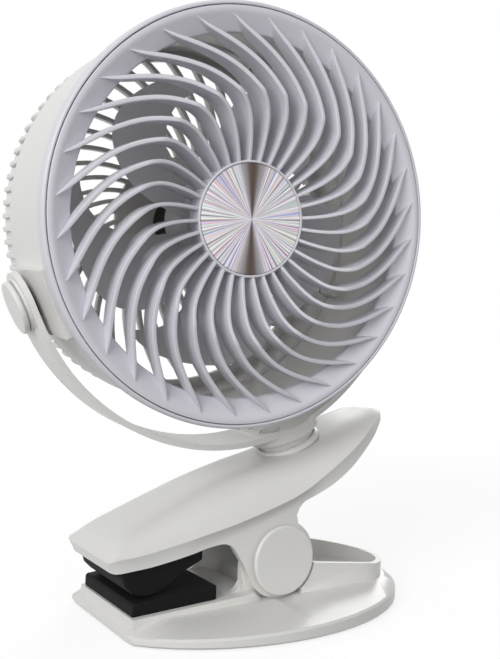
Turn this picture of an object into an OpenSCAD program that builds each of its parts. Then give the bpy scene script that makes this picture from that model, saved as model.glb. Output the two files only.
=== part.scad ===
// Clip-on camping fan: spring clip base, swivel yoke and tilting drum head.
// Millimetres, +Z up, the base rests on z = 0, the jaws open toward -X and the fan blows toward -Y.

/* [Clip base] */
// centre of the base outline along X
base_cx = -4; // [-10:0.5:10]
// half length of the base outline
base_rx = 89; // [80:0.5:100]
// half width of the base outline
base_ry = 63.5; // [55:0.5:75]
// straight front edge, distance from the origin
base_front = 79; // [70:0.5:85]
// height of the rim band at the jaw end
rim_z = 4.6; // [3:0.1:7]
// rise of the rim band per millimetre toward the tail
rim_slope = 0.026; // [0:0.001:0.05]
// height of the shoulder under the pad and the tub at the jaw end
foot_z = 8.6; // [7:0.1:12]
// rise of that shoulder per millimetre
foot_slope = 0.02; // [0:0.001:0.05]
// half width of the raised middle
mid_w = 32; // [26:0.5:36]
// height of the tub rim above its front wall
tub_z = 25.5; // [20:0.5:30]
// fall of the tub rim per millimetre toward the tail
tub_slope = 0.125; // [0.05:0.005:0.2]

/* [Clip hinge] */
// hinge axis along X
hinge_x = 3; // [-5:0.5:10]
// hinge axis height
hinge_z = 27.6; // [24:0.1:32]
// tilt of the closed lever, tail up
clip_tilt = 24.5; // [15:0.5:30]
// diameter of the hinge pin
hinge_pin_d = 6; // [4:0.5:8]
// diameter of the round hinge covers
hinge_cap_d = 33.5; // [28:0.5:38]
// radial play between the pin and the lever cheeks
hinge_play = 0.05; // [0.01:0.01:0.1]

/* [Lever] */
// half width of the lever at the hinge
lever_w = 31.8; // [28:0.2:34]
// inner faces of the two cheeks, from the middle
cheek_in = 24; // [22:0.1:26]
// thickness of a cheek
cheek_t = 3.6; // [2.5:0.1:5]
// radius of the round end of a cheek
cheek_r = 19; // [16:0.2:22]

/* [Neck and yoke] */
// distance of the neck from the hinge, along the lever
neck_s = 40.4; // [34:0.2:46]
// height of the neck foot over the hinge, across the lever
neck_h = 41.66; // [38:0.02:46]
// rest angle of the yoke about the neck
swivel_rest = -5.5; // [-20:0.5:20]
// diameter of the neck
neck_d = 29.2; // [24:0.2:34]
// diameter of the swivel stem
stem_d = 18; // [12:0.5:22]
// radial play of the swivel stem
stem_play = 0.06; // [0.01:0.01:0.1]
// play around the power button
button_play = 0.3; // [0.1:0.05:0.5]
// travel of the power button
button_travel = 0.6; // [0.3:0.1:1]
// height of the tilt axis over the centre of the yoke bow
pivot_up = 7.46; // [4:0.02:12]
// height of the underside of the yoke bow over the neck foot
bow_lift = 6.9; // [6:0.1:10]
// step from the drum out to the outside of the yoke bow
bow_gap = 8.2; // [7.4:0.1:12]
// thickness of the yoke band
bow_t = 2.8; // [2:0.1:5]
// width of the yoke band
bow_w = 31; // [20:0.5:40]
// diameter of the yoke end covers
end_cap_d = 24.8; // [18:0.2:32]
// diameter of the tilt pins
tilt_pin_d = 6; // [4:0.5:8]
// radial play of the tilt pins in the drum
tilt_play = 0.05; // [0.01:0.01:0.1]

/* [Head] */
// height of the head centre over the tilt axis
head_off = 3.5; // [0:0.1:8]
// rest angle of the head about the tilt axis
tilt_rest = 1.3; // [-20:0.1:20]
// step of the front bezel out past the drum
ring_lip = 2.6; // [2:0.1:5]
// front face of the bezel ahead of the tilt axis
ring_a = 44.3; // [30:0.1:50]
// outer radius of the drum
drum_r = 92.4; // [84:0.2:98]
// wall of the drum
drum_t = 2.4; // [1.6:0.1:4]
// rear end of the drum behind the tilt axis
drum_back = 20; // [10:0.5:30]
// number of spiral ribs in the front grille
rib_n = 32; // [12:1:48]
// thickness of a spiral rib
rib_t = 1.7; // [1:0.1:3]
// radius of the badge in the front grille
badge_r = 24.9; // [18:0.1:30]
// radius where the ribs bend
kink_r = 55.4; // [40:0.1:70]
// front of that bend ahead of the tilt axis
kink_a = 52.8; // [44:0.1:60]
// number of fins around the rear grille
fin_n = 90; // [40:2:120]
// step of the rear fins in from the drum
fin_inset = 0.4; // [0:0.1:1]
// thickness of a rear fin
fin_t = 2.4; // [1.6:0.1:4]
// rear face of the rear grille behind the tilt axis
rear_a = 45; // [35:0.5:60]

/* [Impeller] */
// number of blades
blade_n = 5; // [3:1:9]
// tip radius of the blades
blade_r = 70.5; // [60:0.5:86]
// rest angle of the first blade root
blade_rest = 58; // [0:1:72]
// radius of the impeller hub
imp_hub_r = 20; // [14:0.5:26]
// diameter of the motor shaft
shaft_d = 3; // [2:0.5:5]

/* [Hidden] */
$fn = 64;
tail_x = base_cx + base_rx;
drum_in = drum_r - drum_t;
pad_face = drum_r + 3.1;
ring_r = drum_r + ring_lip;
cone_in = ring_r - 13.4;
rib_tip = ring_r - 6.4;
fin_r = drum_r - fin_inset;
bow_r = drum_r + bow_gap;
bow_in = bow_r - bow_t;
bow_z = bow_r + bow_lift;
pivot_rise = bow_z + pivot_up;
cheek_out = cheek_in + cheek_t;
loop_n = 48;
cover_z = 0.8;
cover_t = 1.6;
cave_top = 6.4;

// ---- shared frames ----
module in_lever() translate([hinge_x, 0, hinge_z]) rotate([0, -clip_tilt, 0]) children();
module in_yoke() in_lever() translate([neck_s, 0, neck_h]) rotate([0, 0, swivel_rest]) children();
// head frame: x to the right, y up, z out of the front
module in_head() in_yoke() translate([0, 0, pivot_rise]) rotate([tilt_rest, 0, 0])
    translate([0, 0, head_off]) rotate([90, 0, 0]) children();
// a profile in the XZ plane, given a width along Y
module slab(w) rotate([90, 0, 0]) linear_extrude(height = 2 * w, center = true) children();
// a cylinder along Y, centred on y
module y_cyl(r, h, y = 0) translate([0, y, 0]) rotate([90, 0, 0]) cylinder(r = r, h = h, center = true);
// a cylinder along X, centred on x
module x_cyl(r, h, x = 0) translate([x, 0, 0]) rotate([0, 90, 0]) cylinder(r = r, h = h, center = true);
module tube(r, ri, h) difference() {
    cylinder(r = r, h = h);
    translate([0, 0, -1]) cylinder(r = ri, h = h + 2);
}

// ---- outlines of the base ----
function lim(v, lo, hi) = max(lo, min(hi, v));
// outer outline of the base, moved inward by d
function base_pt(t, d) = [max(-base_front + d, base_cx + (base_rx - d) * cos(t)), (base_ry - d) * sin(t)];
// outline of the raised middle: straight sides, pointed tail, front at x = f
function mid_pt(t, d, f) = [max(f, 2 + (tail_x - 6.5 - d) * cos(t)),
    lim(1.65 * (mid_w - d) * sin(t), -(mid_w - d), mid_w - d)];
// outline of the tub: straight front wall at x = f, straight sides, rounded tail at x = b
function tub_pt(t, d, f, b) = [f + (b - f) * pow(cos(t), 0.7),
    lim(1.25 * (mid_w - d) * sin(t), -(mid_w - d), mid_w - d)];
tub_angles = [for (i = [0 : 24]) -90 + 7.5 * i];
function rim(x) = rim_z + rim_slope * (x + base_front);
function foot(x) = foot_z + foot_slope * (x + base_front - 5);
function tub(x) = tub_z - tub_slope * (x - 12);
angles = [for (i = [0 : loop_n - 1]) 360 * (i + 0.5) / loop_n];
function lift(p, z) = [p[0], p[1], z];

// a solid between closed loops of equal length, from the lowest to the highest
module loft(loops) {
    n = len(loops[0]);
    m = len(loops);
    polyhedron(points = [for (l = loops) for (p = l) p],
        faces = concat([[for (i = [0 : n - 1]) i]], [[for (i = [0 : n - 1]) m * n - 1 - i]],
            [for (k = [0 : m - 2]) for (i = [0 : n - 1]) [k * n + i, (k + 1) * n + i,
                (k + 1) * n + (i + 1) % n]],
            [for (k = [0 : m - 2]) for (i = [0 : n - 1]) [k * n + i, (k + 1) * n + (i + 1) % n,
                k * n + (i + 1) % n]]));
}

// ---- base ----
boss_xy = [[-57, 29], [-57, -29], [41, 29], [41, -29]];
feet_xy = [[-66, 22], [-66, -22], [56, 20], [56, -20], [0, 0]];
port_x = 20;
port_y = 60.5;

module base_shell() color("white") difference() {
    union() {
        loft([
            [for (t = angles) lift(base_pt(t, 1), cover_z)],
            [for (t = angles) lift(base_pt(t, 0), cover_z + 1)],
            [for (t = angles) let (p = base_pt(t, 0)) lift(p, rim(p[0]) - 1)],
            [for (t = angles) let (p = base_pt(t, 1)) lift(p, rim(p[0]))],
            [for (t = angles) let (p = mid_pt(t, 0, 5 - base_front)) lift(p, foot(p[0]))]]);
        // seat of the lower pad
        slab(mid_w - 2) polygon([[-75.5, 6], [-75.5, 10.1], [-17, 13.4], [-17, 6]]);
        // posts that carry the hinge
        for (s = [-1, 1]) translate([0, s * (cheek_in - 2.3), 0]) slab(1.9) union() {
            translate([hinge_x, hinge_z]) circle(r = 15);
            translate([-16.5, 8]) square([37, 19]);
        }
        // cross wall under the hinge
        slab(20) polygon([[-2, 8], [-2, 16], [16, 16], [16, 8]]);
        // tub behind the hinge
        intersection() {
            slab(40) polygon([[14, 8], [14, tub(14)], [90, tub(90)], [90, 8]]);
            linear_extrude(height = 40) polygon([for (t = tub_angles) tub_pt(t, 1.6, 14, 80.2)]);
        }
    }
    // recess of the tub
    translate([0, 0, 10]) linear_extrude(height = 30) polygon([for (t = tub_angles) tub_pt(t, 4.4, 17, 77.4)]);
    // bore of the hinge pin
    translate([hinge_x, 0, hinge_z]) y_cyl(hinge_pin_d / 2, 60);
    // room for the turning cheeks and their covers
    for (s = [-1, 1]) translate([hinge_x, 0, hinge_z]) {
        y_cyl(cheek_r + 0.5, 4.4, s * (cheek_in + 1.9));
        y_cyl(cheek_r - 0.6, 8, s * (cheek_out + 4.2));
    }
    // underside: cover seat and battery room
    translate([-65, -36, 0]) cube([114, 72, cover_z + cover_t]);
    difference() {
        translate([-62, -34, 0]) cube([108, 68, cave_top]);
        for (p = boss_xy) translate([p[0], p[1], 0]) cylinder(r = 3.6, h = 9);
    }
    for (p = boss_xy) translate([p[0], p[1], 0]) cylinder(r = 1.2, h = cave_top);
    // room and mouth of the charge port on the far side
    translate([port_x - 13, 33, cover_z + cover_t]) cube([26, 21, 3.6]);
    translate([port_x - 4.6, 50, cover_z + cover_t]) cube([9.2, 20, 3.4]);
    for (p = feet_xy) translate([p[0], p[1], 0]) cylinder(r = 6.1, h = cover_z + 0.6);
}
module base_cover() color("gainsboro") difference() {
    translate([-64.8, -35.8, cover_z]) cube([113.6, 71.6, cover_t]);
    for (p = boss_xy) translate([p[0], p[1], 0]) {
        cylinder(r = 1.6, h = 9);
        cylinder(r = 3.1, h = cover_z + 0.7);
    }
    for (p = feet_xy) translate([p[0], p[1], 0]) cylinder(r = 6.1, h = cover_z + 0.6);
}
module base_feet() color("dimgray") for (p = feet_xy) translate([p[0], p[1], 0])
    cylinder(r = 6, h = cover_z + 0.6);
module base_screws() color("silver") for (p = boss_xy) translate([p[0], p[1], 0]) difference() {
    union() {
        translate([0, 0, cover_z + 0.1]) cylinder(r = 2.8, h = 0.6);
        cylinder(r = 1.2, h = cave_top - 0.4);
    }
    translate([0, 0, -1]) cylinder(r = 4, h = 1 + cover_z + 0.1);
    translate([-1.6, -0.25, 0]) cube([3.2, 0.5, cover_z + 0.4]);
}
module battery_cells() color("slategray") for (x = [-52, -6])
    translate([x, -27, cover_z + cover_t]) cube([42, 54, 3.7]);
module charge_board() color("seagreen") translate([port_x - 12, 35, cover_z + cover_t])
    cube([24, 18.4, 0.8]);
module charge_port() color("silver") difference() {
    translate([port_x - 4.5, 51, cover_z + cover_t + 0.8]) cube([9, 7.2, 2.6]);
    translate([port_x - 4.1, 52, cover_z + cover_t + 1.1]) cube([8.2, 9, 1.9]);
}
module lower_pad() color("#222222") slab(27.5)
    polygon([[-74.8, 10.18], [-74.8, 15.2], [-73.8, 16.2], [-33.4, 19.8], [-32.2, 18.9], [-32.2, 12.58]]);
module label_plate() color("silver") translate([30, -15, 10]) cube([28, 30, 0.5]);
module hinge_pin() color("silver") translate([hinge_x, 0, hinge_z])
    y_cyl(hinge_pin_d / 2 - 0.02, 2 * cheek_out - 1);
// round wire: six turns about the pin, one leg on the cross wall, one under the lever
module clip_spring() color("silver") in_lever() {
    for (s = [-1, 1]) for (i = [0 : 2]) translate([0, s * (6 + 1.4 * i), 0]) rotate([90, 0, 0])
        rotate_extrude() translate([6, 0]) circle(r = 0.8);
    for (s = [-1, 1]) translate([0, s * 8.8, 6]) rotate([0, 30, 0]) cylinder(r = 0.7, h = 33);
    for (s = [-1, 1]) translate([0, s * 8.8, -6]) rotate([0, -150, 0]) cylinder(r = 0.7, h = 6.1);
    rotate([0, 60, 0]) translate([0, -8.8, -6]) rotate([-90, 0, 0]) cylinder(r = 0.6, h = 17.6);
}

// ---- lever, drawn in its own frame: x along the lever, z across it, hinge at the origin ----
top_line = [[-77.6, 38.6], [-76.6, 41.6], [-73.5, 43.5], [-60, 43.3], [-31, 41.7], [0, 39.4], [19, 37.8],
    [45, 36.2], [70, 35.2], [90, 34.4], [98, 33], [101, 32]];
under_line = [[100, 31], [84, 27.4], [66, 23.6], [54, 21], [40, 19.6], [26, 18.9], [-22.8, 23.9],
    [-36.5, 26.6], [-48.6, 29.4], [-63, 33.4], [-74.5, 36.9]];
plan_line = [[-77.6, 17], [-76.9, 21.5], [-74.6, 25.4], [-70, 28], [-60, 28.8], [-30, 30.6], [0, lever_w],
    [30, lever_w], [50, 30.4], [68, 27], [83, 21], [94, 13], [99.6, 5], [101, 0]];
lever_screw_xy = [[62, 15], [62, -15]];
function mirrored(l) = concat(l, [for (i = [len(l) - 1 : -1 : 0]) [l[i][0], -l[i][1]]]);

module hollow_plan() linear_extrude(height = 60) polygon([for (p = mirrored(plan_line))
    [p[0] * 0.955, p[1] * 0.894]]);

module cheek_face() union() {
    circle(r = cheek_r);
    polygon([[-40, 32], [-40, 27.3], [-30, 25.2], [-25, 23], [-21.4, 18.5], [-19.3, 11], [-cheek_r, 0],
        [16.5, 0], [16.3, 12.5], [18, 16.6], [22, 18.7], [28, 18.9], [28, 32]]);
}
module lever_shell() color("white") in_lever() difference() {
    union() {
        difference() {
            intersection() {
                slab(40) polygon(concat(top_line, under_line));
                linear_extrude(height = 60) polygon(mirrored(plan_line));
                // long upper edges are rounded off
                rotate([0, 4.4, 0]) translate([-90, 0, 0]) rotate([90, 0, 90]) linear_extrude(height = 200)
                    union() {
                        translate([-lever_w - 1, 0]) square([2 * lever_w + 2, 33.4]);
                        translate([-lever_w + 5, 0]) square([2 * lever_w - 10, 40.6]);
                        for (s = [-1, 1]) translate([s * (lever_w - 6.2), 33.4]) circle(r = 7.2);
                    }
            }
            // hollow inside, open below
            intersection() {
                slab(26) polygon([[-70, 20], [-70, 40.2], [-31, 38.6], [0, 36.2], [45, 32.9], [70, 32],
                    [88, 31], [88, 10]]);
                hollow_plan();
            }
        }
        for (s = [-1, 1]) translate([0, s * (cheek_in + cheek_t / 2), 0]) slab(cheek_t / 2) cheek_face();
        // flat raised rings that carry the hinge covers
        for (s = [-1, 1]) y_cyl(cheek_r - 1.1, 1.2, s * (cheek_out + 0.5));
        // boss that carries the neck
        translate([neck_s, 0, 28.1]) cylinder(r = 17.3, h = 9.9);
        for (p = lever_screw_xy) translate([p[0], p[1], 25.75]) cylinder(r = 3.2, h = 7.5);
    }
    for (p = lever_screw_xy) translate([p[0], p[1], 25]) cylinder(r = 1.3, h = 6);
    translate([neck_s, 0, 20]) cylinder(r = stem_d / 2 + stem_play, h = 30);
    for (s = [-1, 1]) y_cyl(hinge_pin_d / 2 + hinge_play, 10, s * cheek_out);
}
jaw_cover_line = [[-70, 35.9], [-63, 33.7], [-48.6, 29.7], [-36.5, 26.9], [-26, 24.7]];
tail_cover_line = [[28.1, 19.4], [40, 19.9], [54, 21.3], [66, 23.9], [84, 27.7], [88, 28.6]];
module cover_band(line, w, t) slab(w) polygon(concat(line, [for (i = [len(line) - 1 : -1 : 0])
    line[i] + [0, t]]));
module jaw_cover() color("gainsboro") in_lever() difference() {
    intersection() {
        cover_band(jaw_cover_line, 26, 2);
        hollow_plan();
    }
    // room for the two cheeks
    for (s = [-1, 1]) translate([-15.9, s * (cheek_in + 5), 25]) cube([50, 10, 20], center = true);
}
module tail_cover() color("gainsboro") in_lever() difference() {
    intersection() {
        cover_band(tail_cover_line, 26, 2);
        hollow_plan();
    }
    for (p = lever_screw_xy) translate([p[0], p[1], 15]) {
        cylinder(r = 2.9, h = 8.8);
        cylinder(r = 1.5, h = 20);
    }
}
module lever_screws() color("silver") in_lever() for (p = lever_screw_xy) translate([p[0], p[1], 22.8]) {
    cylinder(r = 2.6, h = 1);
    cylinder(r = 1.3, h = 7.8);
}
module upper_pad() color("#222222") slab(24.5)
    polygon([[-75.6, 30.6], [-77.4, 29.4], [-78.4, 26.6], [-77.2, 23.2], [-73.6, 19.6], [-69, 17.7],
        [-64.4, 17.4], [-60, 18.7], [-54, 22], [-46.4, 27.4], [-38.4, 31], [-38.4, 37.5],
        [-41.37, 36.94], [-53.54, 34.47], [-68.3, 32.14], [-74.15, 31.3]]);
module hinge_cap(s) in_lever() {
    y_cyl(hinge_cap_d / 2 - 0.9, 0.5, s * (cheek_out + 1.35));
    y_cyl(hinge_cap_d / 2, 2.3, s * (cheek_out + 2.75));
}
module hinge_cap_left() color("white") hinge_cap(-1);
module hinge_cap_right() color("white") hinge_cap(1);
module neck_collar() color("white") in_lever() translate([neck_s, 0, 38]) tube(16.5, neck_d / 2 + 0.4, 3);

// ---- yoke: z up from the neck foot ----
neck_z = 38.6 - neck_h;
button_x = -10.6;
button_y = -7.4;
light_xy = [[-14.9, 5.7], [-18.6, 12.1]];
saddle_z = 3.6;
board_z = saddle_z + 1.2;
// height of the inner face of the bow at x
function bow_floor(x) = bow_z - sqrt(pow(bow_in, 2) - x * x);

module yoke() color("white") in_yoke() difference() {
    union() {
        slab(bow_w / 2) difference() {
            union() {
                translate([0, bow_z]) circle(r = bow_r);
                translate([-bow_r, bow_z]) square([2 * bow_r, pivot_rise - bow_z]);
            }
            translate([0, bow_z]) circle(r = bow_in);
            translate([-bow_in, bow_z]) square([2 * bow_in, 120]);
            translate([-120, pivot_rise]) square([240, 120]);
        }
        for (s = [-1, 1]) translate([0, 0, pivot_rise]) {
            x_cyl(end_cap_d / 2 + 0.3, bow_t + 1, s * (bow_in + bow_t / 2 + 0.5));
            intersection() {
                x_cyl(bow_w / 2, bow_t, s * (bow_in + bow_t / 2));
                translate([0, 0, 10]) cube([250, 40, 20], center = true);
            }
        }
        translate([0, 0, neck_z]) cylinder(r = neck_d / 2, h = 12);
        translate([0, 0, saddle_z]) cylinder(r = 18.8, h = 8);
        translate([0, 0, 27.8 - neck_h]) cylinder(r = stem_d / 2, h = 14);
    }
    // keep the bow clear inside
    slab(40) translate([0, bow_z]) circle(r = bow_in);
    // room of the button board, bores of the button, the lights, the screw and the pins
    translate([0, 0, board_z]) cylinder(r = 17.2, h = 2.9);
    translate([button_x, button_y, board_z]) cylinder(r = 5 + button_play, h = 12);
    for (p = light_xy) translate([p[0], p[1], bow_floor(p[0]) - 1.6]) cylinder(r = 1.3, h = 4);
    translate([0, 0, -40]) cylinder(r = 1.9, h = 38);
    for (s = [-1, 1]) translate([0, 0, pivot_rise]) x_cyl(tilt_pin_d / 2, 12, s * bow_in);
}
module yoke_cap(s) in_yoke() translate([0, 0, pivot_rise]) {
    x_cyl(end_cap_d / 2 - 0.9, 0.4, s * (bow_r + 1.2));
    x_cyl(end_cap_d / 2, 2.8, s * (bow_r + 2.8));
}
module yoke_cap_left() color("white") yoke_cap(-1);
module yoke_cap_right() color("white") yoke_cap(1);
module tilt_pin(s) in_yoke() translate([0, 0, pivot_rise])
    x_cyl(tilt_pin_d / 2 - 0.02, 9.6, s * (bow_r + 0.9 - 4.8));
module tilt_pin_left() color("silver") tilt_pin(-1);
module tilt_pin_right() color("silver") tilt_pin(1);
module swivel_washer() color("gainsboro") in_lever() translate([neck_s, 0, 38])
    tube(13.6, stem_d / 2 + 0.2, 0.55);
module swivel_plate() color("silver") in_lever() translate([neck_s, 0, 26.6]) tube(13, 2.1, 1.2);
module swivel_screw() color("silver") in_lever() translate([neck_s, 0, 0]) difference() {
    union() {
        translate([0, 0, 23.8]) cylinder(r = 4, h = 2.8);
        translate([0, 0, 26]) cylinder(r = 1.88, h = 12);
    }
    translate([0, 0, 23]) cylinder(r = 1.6, h = 2.4, $fn = 6);
}
module button_board() color("seagreen") in_yoke() translate([0, 0, board_z]) cylinder(r = 16.8, h = 0.8);
module switch_dome() color("dimgray") in_yoke() translate([button_x, button_y, board_z + 0.8])
    cylinder(r = 2, h = button_travel + 0.6);
module power_button() color("gainsboro") in_yoke() translate([button_x, button_y, 0]) {
    z = board_z + 1.4 + button_travel;
    translate([0, 0, z]) cylinder(r = 5, h = bow_floor(button_x) + 0.1 - z);
}
module indicator_lights() color("lightgreen") in_yoke() for (p = light_xy)
    translate([p[0], p[1], bow_floor(p[0]) - 1.6]) cylinder(r = 1.25, h = 1.6);

// ---- head: z out of the front, y up ----
screw_angles = [45, 135, 225, 315];
boss_r = drum_in - 2.8;
module ring_profile(points) rotate_extrude($fn = 180) polygon(points);

module drum_housing() color("white") in_head() difference() {
    union() {
        translate([0, 0, -drum_back]) cylinder(r = drum_r, h = drum_back + 36);
        // flat pads beside the tilt pins
        for (s = [-1, 1]) translate([s * (pad_face - 4.5), -head_off, 10]) cube([9, 31, 50], center = true);
    }
    difference() {
        translate([0, 0, -60]) cylinder(r = drum_in, h = 120);
        for (a = screw_angles) rotate([0, 0, a]) translate([boss_r, 0, -drum_back]) cylinder(r = 3.4, h = 10);
        for (s = [-1, 1]) translate([s * (drum_in - 1), -head_off, 0]) cube([4, 14, 14], center = true);
    }
    for (a = screw_angles) rotate([0, 0, a]) translate([boss_r, 0, -drum_back - 1]) cylinder(r = 1.1, h = 9);
    translate([0, -head_off, 0]) for (s = [-1, 1]) x_cyl(tilt_pin_d / 2 + tilt_play, 10, s * (drum_r + 0.6));
}
module tilt_disc(s) in_yoke() translate([0, 0, pivot_rise]) rotate([0, s * 90, 0])
    translate([0, 0, pad_face + 0.1]) tube(tilt_pin_d / 2 + 4.4, tilt_pin_d / 2 + 0.1, bow_in - pad_face - 0.1);
module tilt_disc_left() color("#333333") tilt_disc(-1);
module tilt_disc_right() color("#333333") tilt_disc(1);
module front_bezel() color("lavender") in_head() ring_profile([[drum_r, 36], [ring_r - 1, 36],
    [ring_r, 37.4], [ring_r, 43.2], [ring_r - 1, ring_a], [ring_r - 2.1, ring_a], [ring_r - 2.1, 38.2],
    [drum_in, 38.2], [drum_in, 36]]);
module front_ring() color("lavender") in_head() ring_profile([[ring_r - 2.3, 38.4], [ring_r - 2.3, 44.1],
    [ring_r - 4.6, 44.4], [cone_in, 39.9], [cone_in, 37.4], [cone_in + 1.8, 37.4], [cone_in + 2.4, 38.9],
    [cone_in + 6.4, 40.9], [ring_r - 4.8, 40.9], [ring_r - 4.8, 38.4]]);

// angle of a rib against the radius, from the hub to the tip
rib_path = [[25, 0], [32, 0.2], [40, 1.2], [48, 3.4], [54, 6.8], [60, 11.8], [66, 17.2], [72, 23.2],
    [78, 29.2], [84, 34.6], [88.6, 37.5]];
function polar(r, a) = [r * cos(a), r * sin(a)];
// radius of a rib point once the tip moves with the ring
function rib_at(r) = 25 + (r - 25) * (rib_tip - 25) / 63.6;
function rib_side(s) = [for (q = rib_path) polar(rib_at(q[0]), q[1] + s * rib_t / 2 / rib_at(q[0]) * 57.3 *
    (q[0] < 88 ? (q[0] < 50 ? 1 : 1.25) : 0.3))];
function reversed(l) = [for (i = [len(l) - 1 : -1 : 0]) l[i]];
module front_ribs() color("lavender") in_head() {
    intersection() {
        for (i = [0 : rib_n - 1]) rotate([0, 0, 360 / rib_n * i + 154 - 37.5]) linear_extrude(height = 60)
            polygon(concat(rib_side(-1), reversed(rib_side(1))));
        ring_profile([[20, 41.7], [kink_r, kink_a], [rib_tip, 44.3], [rib_tip, 43.48], [cone_in, 39.9],
            [cone_in, 38], [kink_r + 14.6, 39.2], [kink_r, 39.8], [20, 29]]);
    }
    difference() {
        translate([0, 0, 34]) cylinder(r = 26.2, h = 9.9);
        translate([0, 0, 33]) cylinder(r = 23.4, h = 8);
        translate([0, 0, 42.9]) cylinder(r = badge_r + 0.1, h = 4);
    }
}
module hub_badge() color("silver") in_head() translate([0, 0, 42.9]) cylinder(r = badge_r, h = 0.8);
// angle of a rear bar against the radius
bar_n = 40;
bar_path = [[33.6, 0], [40, 4], [47, 8.6], [54, 13.2], [61, 17.8], [68, 22.2], [76, 26.8], [84.6, 31.6]];
// radius of a bar point once its outer end moves with the fins
function bar_at(r) = 33.6 + (r - 33.6) * (fin_r - 41) / 51;
function bar_side(s) = [for (q = bar_path) polar(bar_at(q[0]), q[1] + s * 1.1 / bar_at(q[0]) * 57.3)];
module rear_grille() color("white") in_head() {
    // collar on the drum with four screw tabs
    translate([0, 0, -drum_back - 2.6]) tube(drum_r, drum_in - 1, 2.6);
    for (a = screw_angles) rotate([0, 0, a]) difference() {
        translate([drum_in - 6.4, -4, -drum_back - 2.6]) cube([7, 8, 2.6]);
        translate([boss_r, 0, -drum_back - 3]) cylinder(r = 1.5, h = 4);
    }
    // fins bent round the rear corner
    for (i = [0 : fin_n - 1]) rotate([0, 0, 360 / fin_n * (i + 0.5)]) translate([0, fin_t / 2, 0])
        rotate([90, 0, 0]) linear_extrude(height = fin_t) polygon([[fin_r, -drum_back - 2],
            [fin_r, 5 - rear_a], [fin_r - 1.6, 1.6 - rear_a], [fin_r - 5, -rear_a], [fin_r - 7.1, -rear_a],
            [fin_r - 7.1, 2.4 - rear_a], [fin_r - 6, 2.4 - rear_a], [fin_r - 3.2, 4.4 - rear_a],
            [fin_r - 2.4, 7 - rear_a], [fin_r - 2.4, -drum_back - 2]]);
    // curved bars of the rear face between the hub and the outer ring
    translate([0, 0, 0.3 - rear_a]) tube(fin_r - 6, fin_r - 8.4, 4.4);
    for (i = [0 : bar_n - 1]) rotate([0, 0, 360 / bar_n * i + 5.1]) translate([0, 0, 0.6 - rear_a])
        linear_extrude(height = 5) polygon(concat(bar_side(-1), reversed(bar_side(1))));
    translate([0, 0, -rear_a]) difference() {
        cylinder(r = 34.5, h = 4);
        translate([0, 0, -1]) cylinder(r = 3, h = 6);
        for (a = [0, 120, 240]) rotate([0, 0, a + 30]) translate([9, 0, -1]) cylinder(r = 1.4, h = 6);
    }
}
module grille_screws() color("silver") in_head() for (a = screw_angles) rotate([0, 0, a])
    translate([boss_r, 0, -drum_back]) {
        translate([0, 0, -4]) cylinder(r = 2.4, h = 1.4);
        translate([0, 0, -3]) cylinder(r = 1.08, h = 10);
    }
module motor_housing() color("#222222") in_head() difference() {
    translate([0, 0, 4 - rear_a]) cylinder(r = 14, h = 26);
    translate([0, 0, 6 - rear_a]) cylinder(r = 12.6, h = 22);
    translate([0, 0, -60]) cylinder(r = 4, h = 60);
    for (a = [0, 120, 240]) rotate([0, 0, a + 30]) translate([9, 0, 2 - rear_a]) cylinder(r = 1.1, h = 5);
}
module motor_bearings() color("silver") in_head() for (z = [4 - rear_a, 28 - rear_a])
    translate([0, 0, z]) tube(4, shaft_d / 2 + 0.03, 2);
module motor_screws() color("silver") in_head() for (a = [0, 120, 240]) rotate([0, 0, a + 30])
    translate([9, 0, -rear_a]) {
        translate([0, 0, -1.4]) cylinder(r = 2.4, h = 1.4);
        translate([0, 0, -1]) cylinder(r = 1.08, h = 6.8);
    }
module motor_shaft() color("silver") in_head() {
    translate([0, 0, 1 - rear_a]) cylinder(r = shaft_d / 2, h = 56);
    // magnet rotor inside the can
    translate([0, 0, 9 - rear_a]) cylinder(r = 11.6, h = 16);
}

// blade section: leading and trailing edge angle and height against the radius
blade_steps = 10;
function mix(a, b, t) = a + (b - a) * t;
function blade_pt(u, v, off) = let (
    r = mix(imp_hub_r - 1, blade_r, u),
    w = 49 + 8 * pow(u, 6),
    a = mix(-w / 2, w / 2, v) - 23 * u - 9 * pow(u, 5),
    z = mix(-14, 13, v) + 3 * sin(180 * v) + off,
    q = r - 6 * u * u * pow(abs(2 * v - 1), 4))
    [q * cos(a), q * sin(a), z];
module blade() {
    n = blade_steps;
    k = n + 1;
    side = [for (o = [-0.9, 0.9]) for (i = [0 : n]) for (j = [0 : n]) blade_pt(i / n, j / n, o)];
    m = k * k;
    edge = concat([for (j = [0 : n - 1]) j], [for (i = [0 : n - 1]) i * k + n],
        [for (j = [0 : n - 1]) n * k + n - j], [for (i = [0 : n - 1]) (n - i) * k]);
    e = len(edge);
    polyhedron(points = side, faces = concat(
        [for (i = [0 : n - 1]) for (j = [0 : n - 1]) [i * k + j, (i + 1) * k + j + 1, i * k + j + 1]],
        [for (i = [0 : n - 1]) for (j = [0 : n - 1]) [i * k + j, (i + 1) * k + j, (i + 1) * k + j + 1]],
        [for (i = [0 : n - 1]) for (j = [0 : n - 1]) [m + i * k + j, m + i * k + j + 1,
            m + (i + 1) * k + j + 1]],
        [for (i = [0 : n - 1]) for (j = [0 : n - 1]) [m + i * k + j, m + (i + 1) * k + j + 1,
            m + (i + 1) * k + j]],
        [for (i = [0 : e - 1]) [edge[i], m + edge[(i + 1) % e], m + edge[i]]],
        [for (i = [0 : e - 1]) [edge[i], edge[(i + 1) % e], m + edge[(i + 1) % e]]]));
}
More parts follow.
